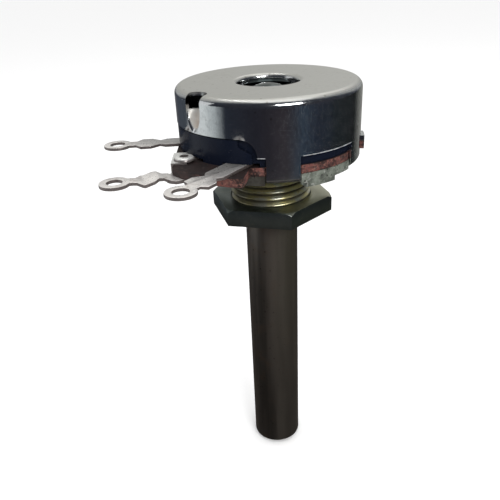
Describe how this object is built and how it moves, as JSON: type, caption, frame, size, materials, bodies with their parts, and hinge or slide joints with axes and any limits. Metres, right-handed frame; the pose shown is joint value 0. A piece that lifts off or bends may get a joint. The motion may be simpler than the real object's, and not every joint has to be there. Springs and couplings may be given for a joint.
{
  "type": "rotary potentiometer",
  "caption": "Panel-mounted rotary potentiometer with a long plain spindle, a threaded bush with a hexagon nut, a drawn steel cover and side solder lugs.",
  "frame": {"origin": "on the spindle's axis, at the front plate's face that seats on the panel", "axes": "+Z along the spindle, away from its free end and towards the cover's top; -Y is the side the solder lugs leave on; +X completes a right-handed frame"},
  "size_m": [0.0215, 0.031, 0.0512],
  "materials": {
    "cover_plate": "bright tin plate over drawn steel",
    "zinc_plate": "mottled grey zinc",
    "bush_brass": "turned brass with worn nickel plate",
    "nut_metal": "dull nickel plate over brass",
    "spindle_metal": "dull turned steel, slightly tarnished",
    "spring_steel": "plain spring steel",
    "laminate": "reddish brown resin-bonded paper with a speckled surface",
    "carbon": "matt carbon film",
    "silver_print": "matt silver print",
    "tin": "tinned brass, slightly tarnished",
    "black_moulding": "glossy blue-black moulded resin",
    "rotor_moulding": "matt dark moulded resin",
    "spring_bronze": "phosphor bronze",
    "contact_carbon": "moulded carbon"
  },
  "bodies": {
    "housing": {"cover": "cover_plate", "front_plate": "zinc_plate", "threaded_bush": "bush_brass", "thrust_washer": "spring_bronze", "track_board": "laminate", "resistive_track": "carbon", "end_pad_near": "silver_print", "end_pad_far": "silver_print", "collector_ring": "tin", "insulating_ring": "black_moulding", "lug_near": "tin", "lug_middle": "tin", "lug_far": "tin", "eyelet_near": "tin", "eyelet_middle": "tin", "eyelet_far": "tin"},
    "shaft": {"spindle": "spindle_metal", "retaining_clip": "spring_steel", "rotor": "rotor_moulding", "wiper_spring": "spring_bronze", "track_button": "contact_carbon", "collector_button": "spring_bronze"},
    "nut": {"hex_nut": "nut_metal"}
  },
  "joints": [
    {"name": "spindle_turn", "type": "hinge", "parent": "housing", "child": "shaft", "pos_m": [0, 0, 0], "axis": [0, 0, 1], "range_deg": [-145, 145]},
    {"name": "nut_run", "type": "slide", "parent": "housing", "child": "nut", "axis": [0, 0, 1], "range_m": [-0.00159, 0.00397]}
  ]
}
